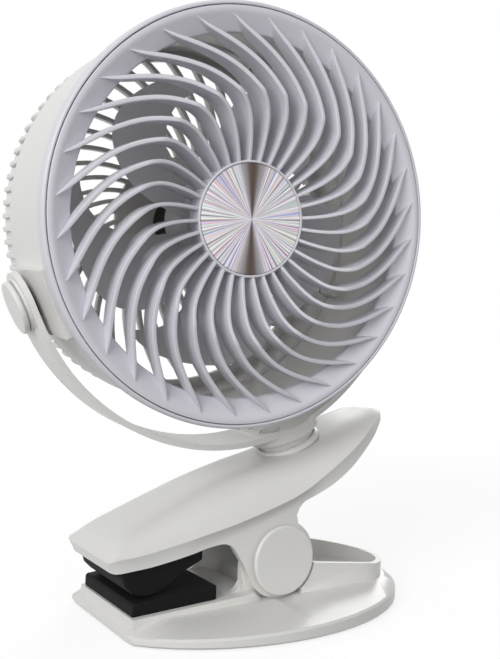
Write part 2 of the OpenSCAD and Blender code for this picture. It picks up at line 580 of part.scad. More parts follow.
module impeller() color("#bbbbbb") in_head() {
    for (i = [0 : blade_n - 1]) rotate([0, 0, 360 / blade_n * i + blade_rest]) blade();
    difference() {
        translate([0, 0, -11]) cylinder(r = imp_hub_r, h = 22);
        translate([0, 0, -12]) cylinder(r = imp_hub_r - 2.4, h = 20);
        translate([0, 0, -10]) cylinder(r = shaft_d / 2 + 0.02, h = 30);
    }
    difference() {
        translate([0, 0, -9]) cylinder(r = 5, h = 19);
        translate([0, 0, -10]) cylinder(r = shaft_d / 2, h = 30);
    }
}
module impeller_cap() color("dimgray") in_head() difference() {
    translate([0, 0, 11]) cylinder(r = 5, h = 4);
    translate([0, 0, 10]) cylinder(r = shaft_d / 2 + 0.02, h = 2.1);
}

base_shell();
base_cover();
base_feet();
base_screws();
battery_cells();
charge_board();
charge_port();
lower_pad();
label_plate();
hinge_pin();
clip_spring();
lever_shell();
jaw_cover();
tail_cover();
lever_screws();
upper_pad();
hinge_cap_left();
hinge_cap_right();
neck_collar();
yoke();
yoke_cap_left();
yoke_cap_right();
tilt_pin_left();
tilt_pin_right();
swivel_washer();
swivel_plate();
swivel_screw();
button_board();
switch_dome();
power_button();
indicator_lights();
drum_housing();
tilt_disc_left();
tilt_disc_right();
front_bezel();
front_ring();
front_ribs();
hub_badge();
rear_grille();
grille_screws();
motor_housing();
motor_bearings();
motor_screws();
impeller();
motor_shaft();
impeller_cap();
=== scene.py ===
import bmesh
import bpy
import numpy as np
from mathutils import Matrix


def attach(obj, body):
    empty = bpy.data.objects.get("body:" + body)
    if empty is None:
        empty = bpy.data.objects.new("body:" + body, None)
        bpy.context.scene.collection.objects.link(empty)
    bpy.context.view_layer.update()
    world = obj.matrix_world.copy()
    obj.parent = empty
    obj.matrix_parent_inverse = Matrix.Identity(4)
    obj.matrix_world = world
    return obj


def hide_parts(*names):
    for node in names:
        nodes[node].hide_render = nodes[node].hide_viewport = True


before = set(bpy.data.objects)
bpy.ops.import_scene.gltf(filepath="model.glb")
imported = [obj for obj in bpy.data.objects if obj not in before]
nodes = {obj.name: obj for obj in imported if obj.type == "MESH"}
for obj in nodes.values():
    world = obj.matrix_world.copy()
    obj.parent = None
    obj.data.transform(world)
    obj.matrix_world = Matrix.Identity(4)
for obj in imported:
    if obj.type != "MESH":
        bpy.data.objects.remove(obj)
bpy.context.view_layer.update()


# matrix of a turn by some degrees about axis 0, 1 or 2: cosines on the diagonal, sines off it
def turn(axis, degrees):
    matrix = np.eye(4)
    i, j = (axis + 1) % 3, (axis + 2) % 3
    c, s = np.cos(np.radians(degrees)), np.sin(np.radians(degrees))
    matrix[i, i], matrix[i, j], matrix[j, i], matrix[j, j] = c, -s, s, c
    return matrix


# matrix of a move: the step stands in the last column
def shift(x, y, z):
    matrix = np.eye(4)
    matrix[:3, 3] = x, y, z
    return matrix


# every shape is drawn in millimetres in the frame of its own body, and these frames put it in its place
pose = dict(
    hinge=(3, 0, 27.6),       # middle of the clip's hinge pin, in the base
    leverTilt=-24.5,          # rise of the lever, in degrees
    neck=(40.4, 0, 41.66),    # foot of the neck, along and above the lever
    swivel=-5.5,              # turn of the bow on its neck
    pivot=114.96,             # height of the tilt pins above the foot
    headTilt=1.3,             # nod of the head
    headOff=3.5)              # middle of the head above the pins
baseFrame = np.eye(4)
leverFrame = shift(*pose["hinge"]) @ turn(1, pose["leverTilt"])
yokeFrame = leverFrame @ shift(*pose["neck"]) @ turn(2, pose["swivel"])
pivotFrame = yokeFrame @ shift(0, 0, pose["pivot"])
headFrame = pivotFrame @ turn(0, pose["headTilt"]) @ shift(0, 0, pose["headOff"]) @ turn(0, 90)


# sRGB hex to linear: each channel over 12.92 below 0.04045, else ((c + 0.055) / 1.055) ^ 2.4, then dimmed
def linearColour(code, dim=1.0):
    c = np.array([int(code[i:i + 2], 16) for i in (1, 3, 5)]) / 255
    return tuple(dim * np.where(c <= 0.04045, c / 12.92, ((c + 0.055) / 1.055) ** 2.4)) + (1.0,)


# adds a node, sets its properties and sockets, and joins sockets to other nodes' outputs
def addNode(tree, kind, values=None, links=None, **properties):
    node = tree.nodes.new("ShaderNode" + kind)
    for key, value in properties.items():
        setattr(node, key, value)
    for key, value in (values or {}).items():
        node.inputs[key].default_value = value
    for key, source in (links or {}).items():
        tree.links.new(node.inputs[key], source)
    return node


# sets a colour ramp's stops: a position, a hex code and, where a stop is darker, how far it is dimmed
def setStops(node, stops):
    elements = node.color_ramp.elements
    for position, *colour in stops[1:-1]:
        elements.new(position).color = linearColour(*colour)
    for index, (position, *colour) in ((0, stops[0]), (len(stops) - 1, stops[-1])):
        elements[index].position, elements[index].color = position, linearColour(*colour)


# a new material with some sockets of its surface set
def startMaterial(name, values):
    material = bpy.data.materials.new(name)
    material.use_nodes = True
    tree = material.node_tree
    shader = tree.nodes["Principled BSDF"]
    for key, value in values.items():
        shader.inputs[key].default_value = value
    return material, tree, shader


# in millimetres: soft clouds in a resin's colour, the depth of its skin, and scratches on metal
finishValues = dict(cloud=35.7, skinDepth=0.1, scratch=1.11, coatRoughness=0.18)


# moulded plastic or rubber: two close shades in broad soft clouds, and a skin of bumps one grain wide
def mouldedMaterial(name, shade, shadeTwo, roughness, grain, depth, coat=0.0, specular=0.5):
    material, tree, shader = startMaterial(name, {
        "Roughness": roughness, "Coat Weight": coat, "Coat Roughness": finishValues["coatRoughness"],
        "Specular IOR Level": specular})
    place = addNode(tree, "TexCoord").outputs["Object"]
    clouds = addNode(tree, "TexNoise", {"Scale": 1000 / finishValues["cloud"], "Detail": 3.0},
                     {"Vector": place})
    mix = addNode(tree, "Mix", {6: linearColour(shade), 7: linearColour(shadeTwo)},
                  {0: clouds.outputs["Fac"]}, data_type="RGBA")
    skin = addNode(tree, "TexNoise", {"Scale": 1000 / grain, "Detail": 2.0}, {"Vector": place})
    bump = addNode(tree, "Bump", {"Strength": depth, "Distance": finishValues["skinDepth"] * 0.001},
                   {"Height": skin.outputs["Fac"]})
    tree.links.new(shader.inputs["Base Color"], mix.outputs[2])
    tree.links.new(shader.inputs["Normal"], bump.outputs["Normal"])
    return material


# bare metal: its tone drops by a fifth in fine scratches
def metalMaterial(name, shade, roughness):
    material, tree, shader = startMaterial(name, {"Metallic": 1.0, "Roughness": roughness})
    place = addNode(tree, "TexCoord").outputs["Object"]
    scratches = addNode(tree, "TexNoise", {"Scale": 1000 / finishValues["scratch"], "Detail": 2.0},
                        {"Vector": place})
    tone = addNode(tree, "ValToRGB", links={"Fac": scratches.outputs["Fac"]})
    setStops(tone, [(0.3, shade), (0.8, shade, 0.8)])
    tree.links.new(shader.inputs["Base Color"], tone.outputs["Color"])
    return material


# ABS shells: satin from a lightly textured mould, so highlights are wide and soft
whiteAbs = mouldedMaterial("WhiteMouldedAbs", "#E3E2DF", "#DDDCD9", roughness=0.34, grain=0.5, depth=0.1,
                           coat=0.15)
# inner covers: the same resin with no polish, so no coat
plainAbs = mouldedMaterial("PlainMouldedAbs", "#D4D3D0", "#CBCAC8", roughness=0.5, grain=0.5, depth=0.12)
# grille: pale lavender grey ABS, about as glossy as the shells, so its ribs catch thin highlights
greyAbs = mouldedMaterial("LavenderGreyAbs", "#DAD9E0", "#D4D3DB", roughness=0.36, grain=0.5, depth=0.08,
                          coat=0.12)
# blades: pale polypropylene, smooth with a waxy shine, which looks smoke grey in the drum's shade
smokePp = mouldedMaterial("SmokeGreyPolypropylene", "#E2E0E2", "#DBD9DC", roughness=0.42, grain=0.9,
                          depth=0.04, coat=0.05)
# pads: nitrile rubber, nearly black, dull with a fine stipple
blackRubber = mouldedMaterial("BlackNitrileRubber", "#09090A", "#0E0E0F", roughness=0.75, grain=0.8,
                              depth=0.25, specular=0.2)
# motor can and discs: glass-filled nylon, dull black
blackNylon = mouldedMaterial("BlackGlassFilledNylon", "#1A1A1B", "#212122", roughness=0.5, grain=0.6,
                             depth=0.2)
# boards: green solder mask, smooth and a little glossy
boardGreen = mouldedMaterial("SolderMaskBoard", "#1E5A36", "#194E2F", roughness=0.35, grain=0.7, depth=0.1)
# cells: thin wrap shrunk over steel, with a soft even shine
cellWrap = mouldedMaterial("ShrinkWrappedCell", "#3C4F66", "#36485E", roughness=0.4, grain=0.9, depth=0.05)
# lights that are off: polished clear grey acrylic, with the sharpest highlights of all
lightGuide = mouldedMaterial("ClearGreyLightGuide", "#B9BDB8", "#AEB2AD", roughness=0.2, grain=0.9,
                             depth=0.02, coat=0.3)
# screws, pins and spring: zinc plate, cool grey with blurred reflections
springSteel = metalMaterial("ZincPlatedSteel", "#B8B8BA", roughness=0.32)
# label: satin foil with nothing on it, warmer and duller than the screws
labelFoil = metalMaterial("SatinAluminiumFoil", "#B5B0AD", roughness=0.45)


pole = 0.01    # radius in millimetres at which a turned piece closes round its axis


# faces of a grid of rows x columns: each quad joins a point, its neighbour, and the two in the next row
def gridFaces(rows, columns, closeRows, closeColumns):
    r = np.arange(rows if closeRows else rows - 1)[:, None]
    c = np.arange(columns if closeColumns else columns - 1)[None, :]
    nextR, nextC = (r + 1) % rows, (c + 1) % columns
    quad = np.stack(np.broadcast_arrays(r * columns + c, r * columns + nextC,
                                        nextR * columns + nextC, nextR * columns + c), axis=-1)
    return quad.reshape(-1, 4)


# rounds each corner of a closed outline: a parabola from one edge to the next, cut back by radius
def softCorners(points, radius, steps=4):
    p = np.array(points, float)
    before, after = np.roll(p, 1, axis=0) - p, np.roll(p, -1, axis=0) - p
    lengths = [np.linalg.norm(e, axis=1, keepdims=True) for e in (before, after)]
    radius = np.broadcast_to(np.array(radius, float), (len(p),))[:, None]
    a = p + before * np.minimum(radius, lengths[0] * 0.49) / lengths[0]
    b = p + after * np.minimum(radius, lengths[1] * 0.49) / lengths[1]
    t = np.linspace(0, 1, steps + 1)[None, :, None]
    curve = (1 - t) ** 2 * a[:, None] + 2 * t * (1 - t) * p[:, None] + t ** 2 * b[:, None]
    return curve.reshape(-1, p.shape[1])


# the same parabolas at the inner corners of an open path, without its two ends
def softBends(points, radius, steps):
    return softCorners(points, radius, steps)[steps + 1:-steps - 1]


# straight lines through (x, y) stops
def straightThrough(stops, x):
    return np.interp(x, *np.array(stops, float).T)


# smooth curve through (x, y) stops: a cubic between each two, with slopes from the neighbours on each side
def smoothThrough(stops, x):
    sx, sy = np.array(stops, float).T
    slope = np.gradient(sy, sx)
    i = np.clip(np.searchsorted(sx, x) - 1, 0, len(sx) - 2)
    h = sx[i + 1] - sx[i]
    t = (x - sx[i]) / h
    return ((2 * t ** 3 - 3 * t ** 2 + 1) * sy[i] + (t ** 3 - 2 * t ** 2 + t) * h * slope[i]
            + (3 * t ** 2 - 2 * t ** 3) * sy[i + 1] + (t ** 3 - t ** 2) * h * slope[i + 1])


# a profile of (radius, height) turned about z: x = r cos a, y = r sin a
def latheGrid(profile, segments=128):
    profile = np.array(profile, float)
    a = np.linspace(0, 2 * np.pi, segments, endpoint=False)[:, None]
    r, z = profile[None, :, 0], profile[None, :, 1]
    return np.stack([r * np.cos(a), r * np.sin(a), z + 0 * a], axis=-1)


# a section carried along a path of radius and angle: each point is the path's own plus its side step times
# the path's normal (-dy, dx) / length, at the section's height
def carriedGrid(r, angle, side, height):
    x, y = r * np.cos(angle), r * np.sin(angle)
    dx, dy = np.gradient(x), np.gradient(y)
    length = np.hypot(dx, dy)
    x = x[:, None] - (dy / length)[:, None] * side
    y = y[:, None] + (dx / length)[:, None] * side
    return np.stack([x, y, height + 0 * x], axis=-1)


# a flat outline of (x, z) at each of some places along y
def plateGrid(outline, places):
    x, y, z = np.broadcast_arrays(outline[None, :, 0], np.array(places)[:, None], outline[None, :, 1])
    return np.stack([x, y, z], axis=-1)


# every point times the matrix's turn, plus its step
def moved(grid, matrix):
    return grid @ matrix[:3, :3].T + matrix[:3, 3]


# copies of a grid turned about z at each angle a: x cos a - y sin a, x sin a + y cos a
def turned(grid, angles):
    a = np.radians(np.array(angles, float)).reshape((-1,) + (1,) * (grid.ndim - 1))
    c, s = np.cos(a), np.sin(a)
    x, y, z = (grid[None, ..., k] for k in range(3))
    return np.stack([x * c - y * s, x * s + y * c, z + 0 * c], axis=-1)


# adds an object with its data to the scene
def addObject(name, data):
    made = bpy.data.objects.new(name, data)
    bpy.context.scene.collection.objects.link(made)
    return made


# welds seams, turns normals outward, smooths all but the sharp edges and puts the piece on its body
def finishMesh(name, mesh, body, material, replaced, sharp=32):
    shell = bmesh.new()
    shell.from_mesh(mesh)
    bmesh.ops.remove_doubles(shell, verts=shell.verts, dist=1e-7)
    bmesh.ops.recalc_face_normals(shell, faces=shell.faces)
    shell.to_mesh(mesh)
    shell.free()
    mesh.polygons.foreach_set("use_smooth", np.ones(len(mesh.polygons), bool))
    mesh.set_sharp_from_angle(angle=np.radians(sharp))
    piece = addObject(name, mesh)
    mesh.materials.append(material)
    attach(piece, body)
    if replaced:
        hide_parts(*replaced)
    return piece


# joins grids into one mesh; each part is (grid, rows closed, columns closed), and open row ends are capped
def makePiece(name, parts, matrix, body, material, replaced=(), sharp=32):
    points, faces, start = [], [], 0
    for grid, closeRows, closeColumns in parts:
        grid = grid if grid.ndim == 4 else grid[None]
        for one in grid:
            rows, columns = one.shape[:2]
            faces += (gridFaces(rows, columns, closeRows, closeColumns) + start).tolist()
            if closeColumns and not closeRows:
                faces += [list(range(start, start + columns)),
                          list(range(start + (rows - 1) * columns, start + rows * columns))]
            points.append(one.reshape(-1, 3))
            start += rows * columns
    mesh = bpy.data.meshes.new(name)
    mesh.from_pydata((moved(np.concatenate(points), matrix) * 0.001).tolist(), [], faces)
    return finishMesh(name, mesh, body, material, replaced, sharp)


# breaks the edges that are sharper than an angle with a narrow bevel
def breakEdges(piece, width, sharp):
    bevel = piece.modifiers.new("edge", "BEVEL")
    bevel.width, bevel.segments, bevel.limit_method = width * 0.001, 3, "ANGLE"
    bevel.angle_limit = np.radians(sharp)
    bevel.harden_normals = True


# a solid of the frame with its edges broken: its triangles welded, flat areas joined, then a bevel
def roundedCopy(name, node, body, material, width, sharp=32):
    shell = bmesh.new()
    shell.from_mesh(nodes[node].data)
    bmesh.ops.remove_doubles(shell, verts=shell.verts, dist=2e-6)
    bmesh.ops.dissolve_limit(shell, angle_limit=np.radians(0.7), verts=shell.verts, edges=shell.edges)
    mesh = bpy.data.meshes.new(name)
    shell.to_mesh(mesh)
    shell.free()
    breakEdges(finishMesh(name, mesh, body, material, (node,), sharp), width, sharp)


# gives solids that keep their own shape their material
def paint(material, *names):
    for name in names:
        data = nodes[name].data
        data.materials.clear()
        data.materials.append(material)


# front bezel, and inside it the grille ring with its cone, either side of a seam
ringSizes = dict(outer=95, inner=90, back=36, face=44.3, seam=92.8, seamGap=0.35, segments=240,
                 coneInner=81.6, coneDepth=39.9, coneBack=37.4, lip=44.4, lipRadius=90.4)


# the bezel's section: a rounded rim round the drum's mouth, with a step behind its face
def bezelProfile(sizes):
    outer, face = sizes["outer"], sizes["face"]
    seam, step = sizes["seam"] + sizes["seamGap"] / 2, sizes["back"] + 2.2
    return softCorners([(sizes["inner"], sizes["back"]), (outer - 1, sizes["back"]), (outer, face - 6.9),
                        (outer, face - 1.3), (outer - 1, face), (seam, face - 0.1), (seam, step),
                        (sizes["inner"], step)], [0.1, 0.3, 0.6, 1.2, 1.0, 0.4, 0.1, 0.1], 6)


# the ring's section: from the seam over the lip and down the cone, then back under it
def ringProfile(sizes):
    lip, seam, inner = sizes["lip"], sizes["seam"] - sizes["seamGap"] / 2, sizes["coneInner"]
    return softCorners([(seam, lip - 6), (seam, lip - 0.3), (sizes["lipRadius"], lip),
                        (inner, sizes["coneDepth"]), (inner, sizes["coneBack"]), (83.4, sizes["coneBack"]),
                        (84, 38.9), (88, lip - 3.5), (90.2, lip - 3.5), (90.2, lip - 6)],
                       [0.1, 0.5, 1.6, 1.0, 0.5, 0.3, 0.3, 0.3, 0.1, 0.1], 6)


makePiece("frontBezel", [(latheGrid(bezelProfile(ringSizes), ringSizes["segments"]), True, True)],
          headFrame, "head", greyAbs, ("front_bezel",))
makePiece("grilleRing", [(latheGrid(ringProfile(ringSizes), ringSizes["segments"]), True, True)],
          headFrame, "head", greyAbs, ("front_ring",))
print("front ring done")

# spiral ribs with the hub cup; most values are stops of (radius, value)
ribRoot, ribKink, ribTip = 24.5, 55.4, 88.9
ribSizes = dict(
    count=32, firstRoot=116.5,
    halfThick=[(24, 0.765), (50, 0.85), (60, 1.02), (80, 1.0625), (86, 0.68), (ribTip, 0.102)],
    front=[(20, 41.7), (ribKink, 52.8), (ribTip, 44.1)],
    back=[(20, 29), (ribKink, 39.8), (70, 39.2), (81.6, 38.2), (ribTip, 42.2)],
    turn=[(ribRoot, 0), (32, 0.2), (40, 1.2), (48, 3.4), (54, 6.8), (60, 11.8), (66, 17.2), (72, 23.2),
          (78, 29.2), (84, 34.6), (ribTip, 37.7)])
cupSizes = dict(inner=23.4, outer=26.2, lip=25.1, back=34, front=43.9, floorBack=41, floorFront=42.85)


# a rib: its angle follows the turn curve out along the radius, and its section stands across that path,
# with height = front - depth * drop - half width * cut at each point round it
def ribGrid(sizes):
    r = np.concatenate([np.linspace(ribRoot, ribKink, 16), np.linspace(ribKink + 1.2, ribTip, 20)])
    half, front, back = (straightThrough(sizes[key], r)[:, None] for key in ("halfThick", "front", "back"))
    # round the section: share of the half width, share of the depth, and how far the corner is cut
    side = np.array([-0.8, -1.0, -1.0, -0.93, -0.75, -0.5, 0.5, 0.75, 0.93, 1.0, 1.0, 0.8])
    drop = np.array([1.0, 0.9, 0.0, 0.0, 0.0, 0.0, 0.0, 0.0, 0.0, 0.0, 0.9, 1.0])
    cut = np.array([0.0, 0.0, 0.62, 0.3, 0.09, 0.0, 0.0, 0.09, 0.3, 0.62, 0.0, 0.0])
    height = front - (front - back) * drop - half * cut
    return carriedGrid(r, np.radians(smoothThrough(sizes["turn"], r)), half * side, height)


# the cup at the ribs' roots: a short tube with a floor that the badge lies on
def cupProfile(inner, outer, lip, back, front, floorBack, floorFront):
    return softCorners([(inner, back), (outer, back), (outer, front), (lip, front), (lip, floorFront),
                        (pole, floorFront), (pole, floorBack), (inner, floorBack)],
                       [0.3, 0.3, 0.55, 0.4, 0.1, 0.0, 0.0, 0.3], 5)


ribAngles = ribSizes["firstRoot"] + 360 / ribSizes["count"] * np.arange(ribSizes["count"])
makePiece("spiralRibs", [(turned(ribGrid(ribSizes), ribAngles), False, True),
                         (latheGrid(cupProfile(**cupSizes)), True, True)],
          headFrame, "head", greyAbs, ("front_ribs",), sharp=29)
print("ribs done")

# badge: sizes in millimetres, noise cells to a turn, and the turn of its wedges of painted dark shade in
# degrees
badgeSizes = dict(radius=24.9, back=42.92, front=43.7, centre=0.02, segments=192,
                  rays=130, hues=95, wedgeTurn=44)


# radially brushed aluminium: fine rays, with painted reflections in pale rainbow fans to the left and the
# right, and painted dark brown shade above and below
def badgeMaterial(sizes):
    material, tree, shader = startMaterial("RadiallyBrushedAluminium", {"Metallic": 0.85, "Roughness": 0.36})
    uv = addNode(tree, "UVMap", uv_map="disc").outputs["UV"]
    around = addNode(tree, "SeparateXYZ", links={"Vector": uv}).outputs["X"]
    # two wedges of painted dark shade: a cosine of twice the angle, low above and below the middle; from it
    # come a mask, 0 in the wedges and 1 in the painted bright fans clear of them, and a depth that colours
    # their shade
    wave = addNode(tree, "Math", {1: 4 * np.pi, 2: np.radians(sizes["wedgeTurn"])}, {0: around},
                   operation="MULTIPLY_ADD")
    fan = addNode(tree, "Math", links={0: wave.outputs[0]}, operation="COSINE")
    paintedFanMask = addNode(tree, "Math", {1: 7.0, 2: 6.3}, {0: fan.outputs[0]}, operation="MULTIPLY_ADD",
                      use_clamp=True)
    depth = addNode(tree, "Math", {1: 5.0, 2: 5.0}, {0: fan.outputs[0]}, operation="MULTIPLY_ADD")
    # painted shade of the wedges: dark brown in their middle, fading to grey at their edges
    paintedShadeWedges = addNode(tree, "ValToRGB", links={"Fac": depth.outputs[0]})
    setStops(paintedShadeWedges, [(0.0, "#5A4B45"), (0.08, "#6A5F5B"), (0.2, "#858385"), (0.6, "#A4A2A6")])
    # rays: noise that changes only with the angle, at two finenesses, spread to full contrast: brushed
    # streaks with painted highlights up to white
    spread = addNode(tree, "CombineXYZ", links={"X": around}).outputs[0]
    rays = addNode(tree, "TexNoise", {"Scale": sizes["rays"], "Detail": 3.0, "Roughness": 0.7},
                   {"Vector": spread})
    hues = addNode(tree, "TexNoise", {"Scale": sizes["hues"], "Detail": 2.0}, {"Vector": spread})
    # painted highlight: the rays run from grey up to pure white
    shade = addNode(tree, "ValToRGB", links={"Fac": rays.outputs["Fac"]})
    setStops(shade, [(0.34, "#6F6B74"), (0.42, "#9C99A2"), (0.48, "#CFCDD6"), (0.54, "#F2F1F6"),
                     (0.62, "#FFFFFF")])
    # painted reflection: rainbow hues of pale blue, green, orange and pink over the rays
    paintedRainbow = addNode(tree, "ValToRGB", links={"Fac": hues.outputs["Fac"]})
    setStops(paintedRainbow, [(0.36, "#A9B2F6"), (0.43, "#F6F6FA"), (0.47, "#C6EED8"), (0.5, "#FFFFFF"),
                    (0.54, "#F8D2AC"), (0.58, "#E8BCEC"), (0.64, "#F7F7FA")])
    # the painted highlight rays tinted by the painted rainbow
    both = addNode(tree, "Mix", {0: 0.8}, {6: shade.outputs["Color"], 7: paintedRainbow.outputs["Color"]},
                   data_type="RGBA", blend_type="MULTIPLY")
    # painted dark shade in the wedges above and below, painted bright rainbow fans clear of them
    mix = addNode(tree, "Mix", links={0: paintedFanMask.outputs[0], 6: paintedShadeWedges.outputs["Color"], 7: both.outputs[2]},
                  data_type="RGBA")
    bump = addNode(tree, "Bump", {"Strength": 0.5, "Distance": 0.00005}, {"Height": rays.outputs["Fac"]})
    tree.links.new(shader.inputs["Base Color"], mix.outputs[2])
    tree.links.new(shader.inputs["Normal"], bump.outputs["Normal"])
    return material


# a thin disc: a profile of (radius, height) turned about z, with the share of a turn and of the radius as UV
def badgeDisc(sizes):
    centre, radius, back, front = (sizes[key] for key in ("centre", "radius", "back", "front"))
    profile = np.array([(centre, back), (radius, back), (radius, front - 0.25), (radius - 0.15, front - 0.08),
                        (radius - 0.4, front - 0.02), (12, front), (centre, front)])
    rows, columns = sizes["segments"] + 1, len(profile)
    a = np.linspace(0, 2 * np.pi, rows)[:, None]
    grid = np.stack([profile[None, :, 0] * np.cos(a), profile[None, :, 0] * np.sin(a),
                     profile[None, :, 1] + 0 * a], axis=-1)
    mesh = bpy.data.meshes.new("hubBadge")
    mesh.from_pydata((moved(grid.reshape(-1, 3), headFrame) * 0.001).tolist(), [],
                     gridFaces(rows, columns, False, True).tolist())
    u, v = np.repeat(np.linspace(0, 1, rows), columns), np.tile(profile[:, 0] / radius, rows)
    corner = np.zeros(len(mesh.loops), np.int32)
    mesh.loops.foreach_get("vertex_index", corner)
    mesh.uv_layers.new(name="disc").data.foreach_set("uv", np.stack([u[corner], v[corner]], axis=-1).ravel())
    finishMesh("hubBadge", mesh, "head", badgeMaterial(sizes), ("hub_badge",))


badgeDisc(badgeSizes)
print("badge done")

# impeller: its blades, the spinner that they stand on and the boss round the shaft
bladeSizes = dict(count=5, rest=58, root=19, tip=70.5, thick=1.8, rear=-14, front=13, crown=3,
                  width=49, tipWidth=8, sweep=23, tipSweep=9, trim=6)
spinnerSizes = dict(radius=20, inner=17.6, half=11, bore=5.4, floor=8.6)
bossSizes = dict(radius=5, bore=1.5, low=-9, high=10)


# a blade over u, root to tip, and v, along the chord:
# angle = rest + (v - 1/2) width - sweep u - tipSweep u^5
# radius = root + (tip - root) u - trim u^2 |2v - 1|^4
# height = rear + (front - rear) v + crown sin(pi v)
# and half the thickness fades with the square roots of 1 - |2v - 1|^6 and 1 - 0.97 u^40
def bladeGrid(sizes):
    u = np.concatenate([np.linspace(0, 0.96, 26), [0.98, 0.993, 1.0]])[:, None]
    v = (1 - np.cos(np.linspace(0, np.pi, 25)))[None, :] / 2
    edge = np.abs(2 * v - 1)
    thick = sizes["thick"] / 2 * np.sqrt(np.clip(1 - edge ** 6, 0, 1)) * np.sqrt(1 - 0.97 * u ** 40)
    width = sizes["width"] + sizes["tipWidth"] * u ** 6
    angle = np.radians(sizes["rest"] + (v - 0.5) * width - sizes["sweep"] * u - sizes["tipSweep"] * u ** 5)
    r = sizes["root"] + (sizes["tip"] - sizes["root"]) * u - sizes["trim"] * u ** 2 * edge ** 4
    z = sizes["rear"] + (sizes["front"] - sizes["rear"]) * v + sizes["crown"] * np.sin(np.pi * v) + 0 * u
    face, back = (np.stack([r * np.cos(angle), r * np.sin(angle), z + side * thick], axis=-1)
                  for side in (1, -1))
    return np.concatenate([face, back[:, -2:0:-1]], axis=1)


# the spinner: a cup open to the rear, with a bore in its floor
def spinnerProfile(radius, inner, half, bore, floor):
    return softCorners([(inner, -half), (radius, -half), (radius, half), (bore, half), (bore, floor),
                        (inner, floor)], [0.3, 0.5, 4.0, 0.3, 0.3, 2.0], 8)


# the boss: a plain tube round the shaft
def bossProfile(radius, bore, low, high):
    return softCorners([(bore, low), (radius, low), (radius, high), (bore, high)], 0.3, 3)


bladeAngles = 360 / bladeSizes["count"] * np.arange(bladeSizes["count"])
makePiece("impellerBlades", [(turned(bladeGrid(bladeSizes), bladeAngles), False, True),
                             (latheGrid(spinnerProfile(**spinnerSizes), 96), True, True),
                             (latheGrid(bossProfile(**bossSizes), 48), True, True)],
          headFrame, "rotor", smokePp, ("impeller",), sharp=40)
print("impeller done")

# rear grille: fins round the drum's corner, spiral bars and the rings that carry them
grilleSizes = dict(
    rear=-45, fins=90, finWidth=2.6, finHalf=1.18, finRadius=90.8, finStart=-20.6, finMiddle=-30,
    finBend=5.5, finEnd=84.6,
    bars=40, barWidth=2.2, barDepth=5, barInset=0.6, firstBar=5.1,
    # the bars' spiral: stops of (radius, degrees)
    spiral=[(33.6, 0), (40, 4), (47, 8.6), (54, 13.2), (61, 17.8), (68, 22.2), (76, 26.8), (84.6, 31.6)],
    # rings: inner and outer radius, low and high above the rear, corner radius, segments
    rings=[(83.6, 86, 0.3, 4.7, 0.4, 180), (3, 34.5, 0, 4, 0.8, 96), (89, 92.4, 22.4, 25, 0.3, 180),
           (88.8, 89.8, 1.6, 24, 0.2, 180), (85, 89.8, 1.6, 2.6, 0.2, 180)])


# a fin: a rounded bar whose middle line runs back along the drum and round the corner to the outer ring;
# its section is the squarish circle of sign(cos a) sqrt |cos a| and sign(sin a) sqrt |sin a|
def finGrid(sizes):
    radius, end, rear = sizes["finRadius"], sizes["finEnd"], sizes["rear"] + 1.2
    start = (radius, sizes["finStart"])
    bend = softBends([start, (radius, rear), (end, rear)], sizes["finBend"], 6)
    path = np.concatenate([[start, (radius, sizes["finMiddle"])], bend, [(end, rear)]])
    step = np.gradient(path, axis=0)
    step /= np.linalg.norm(step, axis=1, keepdims=True)
    outward = np.stack([-step[:, 1], step[:, 0]], axis=-1)
    a = np.linspace(0, 2 * np.pi, 12, endpoint=False) + np.pi / 12
    across, out = (np.sign(wave) * np.abs(wave) ** 0.5 for wave in (np.cos(a), np.sin(a)))
    rz = path[:, None] + outward[:, None] * out[None, :, None] * sizes["finHalf"]
    y = across[None, :] * sizes["finWidth"] / 2 + 0 * rz[..., 0]
    return np.stack([rz[..., 0], y, rz[..., 1]], axis=-1)


# a bar of the rear face: a deep flat section carried along the spiral
def barGrid(sizes):
    spiral, low, high = sizes["spiral"], sizes["barInset"], sizes["barInset"] + sizes["barDepth"]
    r = np.linspace(spiral[0][0], spiral[-1][0], 16)
    section = softCorners([(-1, low), (1, low), (1, high), (-1, high)], 0.45, 2)
    side = section[None, :, 0] * sizes["barWidth"] / 2
    return carriedGrid(r, np.radians(smoothThrough(spiral, r)), side, section[None, :, 1] + sizes["rear"])


# a ring of the rear face: a rounded rectangle of radii and heights turned about z
def backRing(rear, inner, outer, low, high, corner, segments):
    profile = [(inner, rear + low), (outer, rear + low), (outer, rear + high), (inner, rear + high)]
    return latheGrid(softCorners(profile, corner, 3), segments), True, True


finAngles = 360 / grilleSizes["fins"] * (np.arange(grilleSizes["fins"]) + 0.5)
barAngles = 360 / grilleSizes["bars"] * np.arange(grilleSizes["bars"]) + grilleSizes["firstBar"]
makePiece("rearGrille", [(turned(finGrid(grilleSizes), finAngles), False, True),
                         (turned(barGrid(grilleSizes), barAngles), False, True)]
          + [backRing(grilleSizes["rear"], *ring) for ring in grilleSizes["rings"]],
          headFrame, "head", whiteAbs, ("rear_grille",), sharp=40)
print("rear grille done")

# shells taken over from the frame, each with the width of its broken edges in millimetres
roundedCopy("drumShell", "drum_housing", "head", whiteAbs, 0.5)
roundedCopy("yokeBow", "yoke", "yoke", whiteAbs, 0.7)
roundedCopy("baseShell", "base_shell", "base", whiteAbs, 0.7)

# the pad seat carried on under the hinge, and the filled corners between it and the posts
seatSizes = dict(
    low=6.8, halfWidth=30.1, narrowing=3.2, narrowingLength=17, round=1.6,
    front=-75.6, kneeFrom=-22, kneeTo=-20, end=-3.2,       # where its stations stand along x
    line=[(-75.5, 10.15), (-17, 13.45)],                    # the seat's slope, as (x, z)
    arc=20.2,                                               # radius of the hollow round the hinge
    post=(19.8, 23.6), postFace=-16.3, postFoot=13.2, postRadius=6.5, sunk=0.8)


